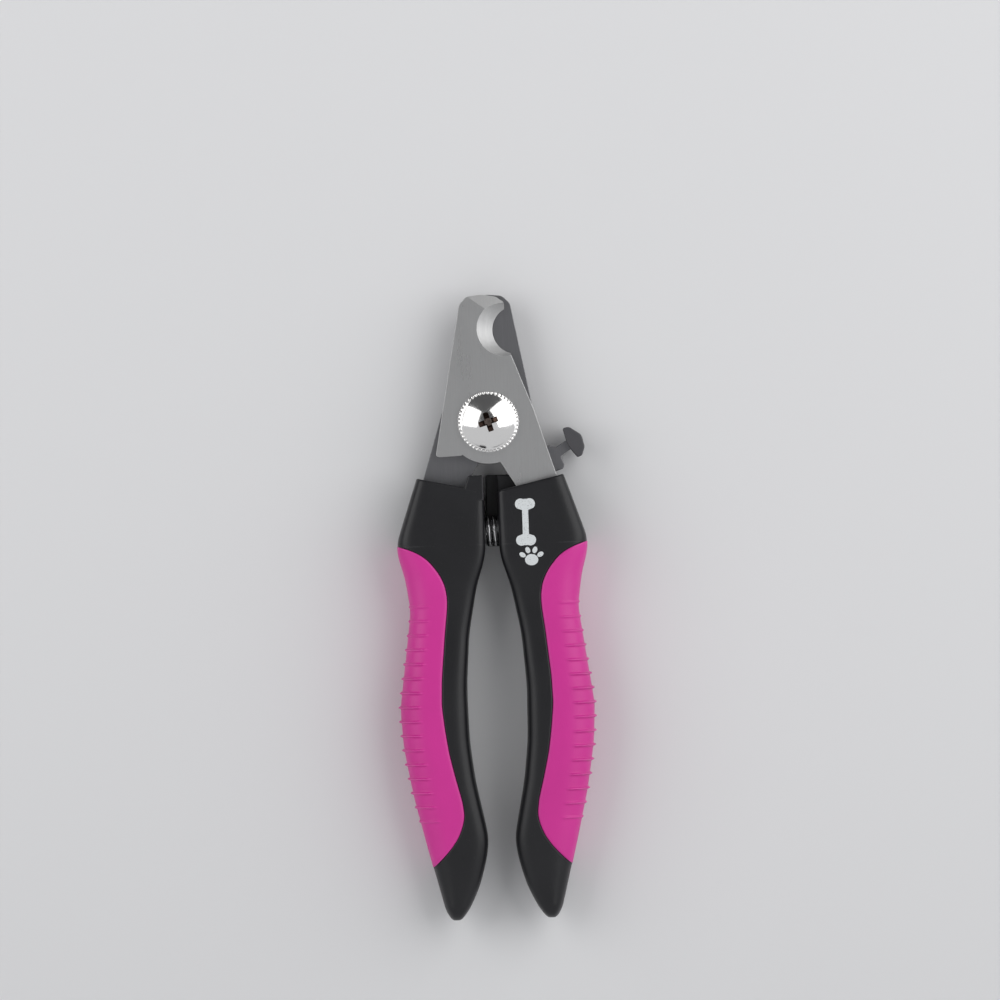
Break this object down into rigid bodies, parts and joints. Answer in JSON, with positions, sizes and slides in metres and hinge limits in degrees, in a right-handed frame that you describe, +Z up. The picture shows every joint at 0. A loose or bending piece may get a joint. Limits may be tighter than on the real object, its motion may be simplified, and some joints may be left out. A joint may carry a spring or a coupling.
{
  "type": "pet nail trimmer",
  "caption": "Scissor-type nail trimmer for pets, with notched steel jaws, sprung handles with soft grips and a thumb lock.",
  "frame": {"origin": "middle of the footprint, on the surface the closed tool rests on, lying on its back", "axes": "+Y from the handle tips to the jaw tips, +Z up out of the front face, +X to the right handle seen from the front"},
  "size_m": [0.0394, 0.1273, 0.013],
  "materials": {
    "satin_steel": "satin ground stainless steel",
    "satin_steel_rear": "dull ground stainless steel",
    "polished_chrome": "mirror-polished chrome",
    "nickel_plate": "nickel-plated steel",
    "spring_steel": "bright drawn spring wire",
    "white_nylon": "natural nylon",
    "black_plastic": "fine-textured hard moulding",
    "black_pad": "satin moulding",
    "pink_rubber": "soft satin rubber with cross ribs"
  },
  "bodies": {
    "right_half": {"front_blade": "satin_steel", "right_handle_core": "black_plastic", "right_grip": "pink_rubber", "pivot_screw": "polished_chrome", "spring_washer": "spring_steel", "pivot_nut": "nickel_plate", "nut_insert": "white_nylon", "return_spring": "spring_steel", "lever_rivet": "nickel_plate", "lever_washer": "spring_steel"},
    "left_half": {"rear_blade": "satin_steel_rear", "left_handle_core": "black_plastic", "left_grip": "pink_rubber"},
    "thumb_lever": {"lock_lever": "satin_steel_rear", "lever_pad": "black_pad"}
  },
  "joints": [
    {"name": "handle_pivot", "type": "hinge", "parent": "right_half", "child": "left_half", "pos_m": [0, 0.03767, 0.0065], "axis": [0, 0, -1], "range_deg": [0, 22], "deforming": ["return_spring"]},
    {"name": "lever_pivot", "type": "hinge", "parent": "right_half", "child": "thumb_lever", "pos_m": [0.0116, 0.02897, 0.0053], "axis": [0, 0, -1], "range_deg": [0, 25]}
  ]
}
